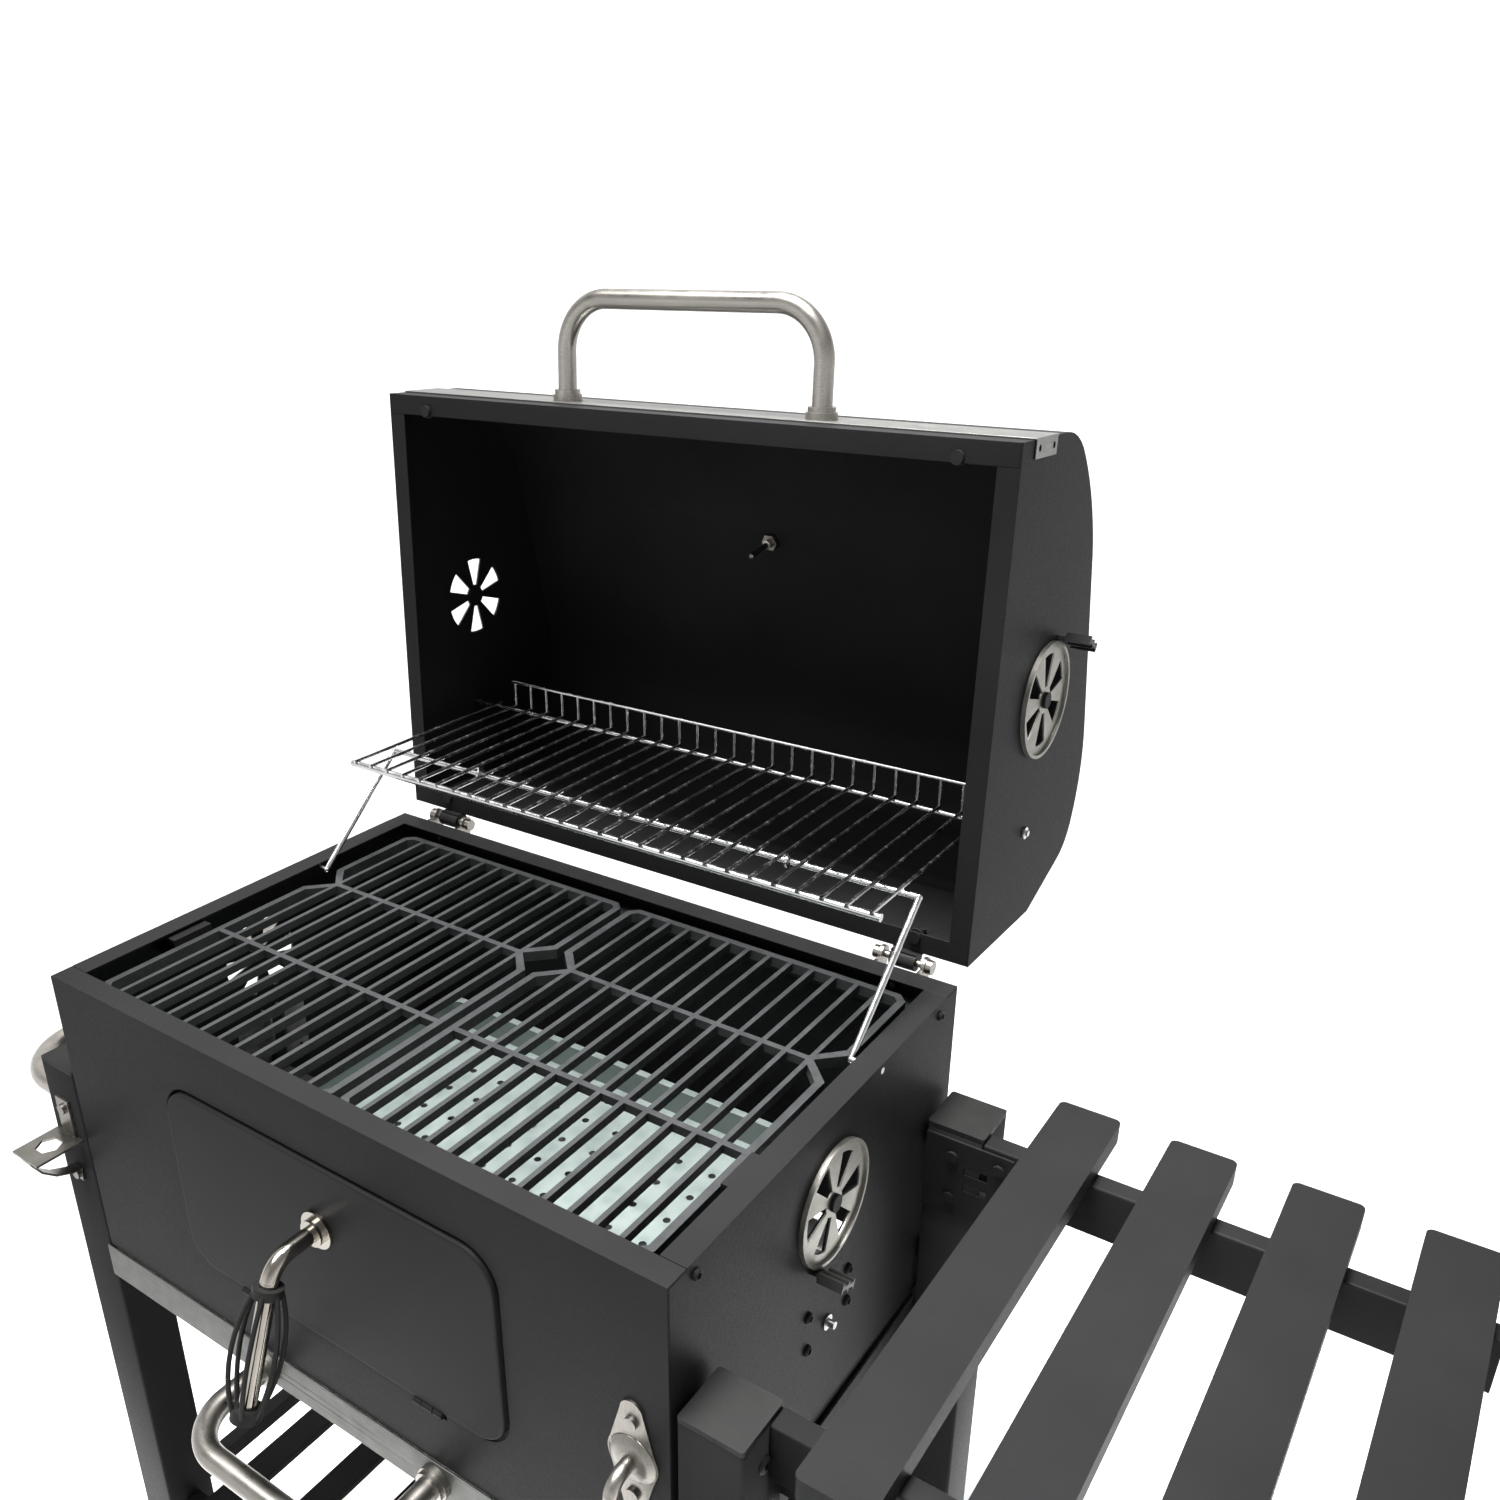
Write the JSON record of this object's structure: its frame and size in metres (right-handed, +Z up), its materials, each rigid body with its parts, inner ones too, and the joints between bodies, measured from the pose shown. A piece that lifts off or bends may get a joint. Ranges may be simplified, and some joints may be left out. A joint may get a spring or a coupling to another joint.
{
  "type": "charcoal grill trolley",
  "caption": "Black charcoal grill trolley with a barrel lid standing open, warming rack, cast grates, cranked coal pan, ash drawer, slatted side table and wheels",
  "frame": {"origin": "on the floor, under the middle of the whole object's box with the lid open", "axes": "+Z up, -Y is the front with the door and the drawer, +X is the side table, which is on the right of a person facing the front"},
  "size_m": [1.1454, 0.7278, 1.3432],
  "materials": {
    "black_coat": "matte, fine-textured powder coat",
    "dark_steel": "satin black paint",
    "stainless": "brushed satin stainless",
    "polished": "polished",
    "vent_steel": "satin stamped stainless",
    "zinc": "zinc-plated",
    "galvanised": "dull galvanised",
    "wire_chrome": "chromed wire",
    "cast_iron": "enamelled matt cast iron",
    "black_plastic": "matte moulded plastic",
    "wheel_black": "matte moulded plastic wheel"
  },
  "bodies": {
    "root": {"front_panel": "black_coat", "rear_panel": "black_coat", "left_panel": "black_coat", "right_panel": "black_coat", "panel_screws": "dark_steel", "grate_ledges": "dark_steel", "leg_front_left": "black_coat", "leg_front_right": "black_coat", "leg_rear_left": "black_coat", "leg_rear_right": "black_coat", "leg_caps": "black_plastic", "leg_feet": "black_plastic", "leg_bolts": "dark_steel", "shelf_frame": "black_coat", "shelf_slats": "black_coat", "axle": "zinc", "table_rails": "black_coat", "table_brackets": "dark_steel", "table_slat_1": "black_coat", "table_slat_2": "black_coat", "table_slat_3": "black_coat", "table_slat_4": "black_coat", "side_handle": "stainless", "drawer_runners": "black_coat", "bottle_opener": "stainless", "crank_plate": "stainless", "lift_guides": "zinc", "hinge_brackets": "stainless", "door_hinge_leaves": "dark_steel"},
    "lid": {"lid_skin": "black_coat", "lid_end_left": "black_coat", "lid_end_right": "black_coat", "lid_trim": "stainless", "lid_handle": "stainless", "lid_collars": "stainless", "thermometer": "polished", "lid_bumpers": "black_plastic", "lid_hinge_ears": "dark_steel"},
    "lid_vent_l": {"lid_vent_left": "vent_steel"},
    "lid_vent_r": {"lid_vent_right": "vent_steel"},
    "rack": {"warming_rack": "wire_chrome"},
    "bail": {"rack_bail": "wire_chrome"},
    "fire_vent_l": {"fire_vent_left": "vent_steel"},
    "fire_vent_r": {"fire_vent_right": "vent_steel"},
    "door": {"door_panel": "black_coat", "door_rose": "polished"},
    "latch": {"latch_lever": "polished", "latch_grip": "black_plastic"},
    "drawer": {"drawer_front": "stainless", "drawer_tray": "galvanised", "drawer_handle": "stainless"},
    "crank": {"crank_rod": "stainless", "crank_grip": "black_plastic", "lift_pinion": "zinc"},
    "pan": {"pan_carrier": "dark_steel", "coal_pan": "galvanised"},
    "grate_l": {"grate_left": "cast_iron"},
    "grate_r": {"grate_right": "cast_iron"},
    "wheel_f": {"wheel_front": "wheel_black"},
    "wheel_r": {"wheel_rear": "wheel_black"}
  },
  "joints": [
    {"name": "lid_hinge", "type": "hinge", "parent": "root", "child": "lid", "pos_m": [-0.11925, 0.136, 0.85], "axis": [1, 0, 0], "range_deg": [0, 92.1]},
    {"name": "rack_hinge", "type": "hinge", "parent": "lid", "child": "rack", "pos_m": [-0.11925, 0.23427, 0.93746], "axis": [1, 0, 0], "range_deg": [-92.1, 0]},
    {"name": "bail_hinge", "type": "hinge", "parent": "root", "child": "bail", "pos_m": [-0.11925, -0.004, 0.844], "axis": [1, 0, 0], "range_deg": [0, 92.1]},
    {"name": "lid_vent_left_turn", "type": "hinge", "parent": "lid", "child": "lid_vent_l", "pos_m": [-0.42125, 0.2463, 1.04709], "axis": [1, 0, 0], "range_deg": [0, 30]},
    {"name": "lid_vent_right_turn", "type": "hinge", "parent": "lid", "child": "lid_vent_r", "pos_m": [0.18275, 0.2463, 1.04709], "axis": [1, 0, 0], "range_deg": [0, 30]},
    {"name": "fire_vent_left_turn", "type": "hinge", "parent": "root", "child": "fire_vent_l", "pos_m": [-0.42125, -0.072, 0.776], "axis": [1, 0, 0], "range_deg": [0, 30]},
    {"name": "fire_vent_right_turn", "type": "hinge", "parent": "root", "child": "fire_vent_r", "pos_m": [0.18275, -0.072, 0.776], "axis": [1, 0, 0], "range_deg": [0, 30]},
    {"name": "door_hinge", "type": "hinge", "parent": "root", "child": "door", "pos_m": [-0.11925, -0.267, 0.6325], "axis": [1, 0, 0], "range_deg": [0, 60]},
    {"name": "latch_turn", "type": "hinge", "parent": "door", "child": "latch", "pos_m": [-0.11925, -0.266, 0.746], "axis": [0, -1, 0], "range_deg": [0, 90]},
    {"name": "drawer_slide", "type": "slide", "parent": "root", "child": "drawer", "axis": [0, -1, 0], "range_m": [0, 0.26]},
    {"name": "pan_lift", "type": "slide", "parent": "root", "child": "pan", "axis": [0, 0, 1], "range_m": [0, 0.088]},
    {"name": "crank_turn", "type": "hinge", "parent": "root", "child": "crank", "pos_m": [0.15375, -0.266, 0.703], "axis": [0, 1, 0], "range_deg": [0, 337]},
    {"name": "grate_left_lift", "type": "slide", "parent": "root", "child": "grate_l", "axis": [0, 0, 1], "range_m": [0, 0.06]},
    {"name": "grate_right_lift", "type": "slide", "parent": "root", "child": "grate_r", "axis": [0, 0, 1], "range_m": [0, 0.06]},
    {"name": "wheel_front_axle", "type": "hinge", "parent": "root", "child": "wheel_f", "pos_m": [0.20775, -0.288, 0.09], "axis": [0, 1, 0], "continuous": true},
    {"name": "wheel_rear_axle", "type": "hinge", "parent": "root", "child": "wheel_r", "pos_m": [0.20775, 0.144, 0.09], "axis": [0, 1, 0], "continuous": true}
  ],
  "couplings": [
    {"joint": "rack_hinge", "follows": "lid_hinge", "ratio": -1},
    {"joint": "bail_hinge", "follows": "lid_hinge", "ratio": 1},
    {"joint": "crank_turn", "follows": "pan_lift", "rad_per_m": 66.667}
  ]
}
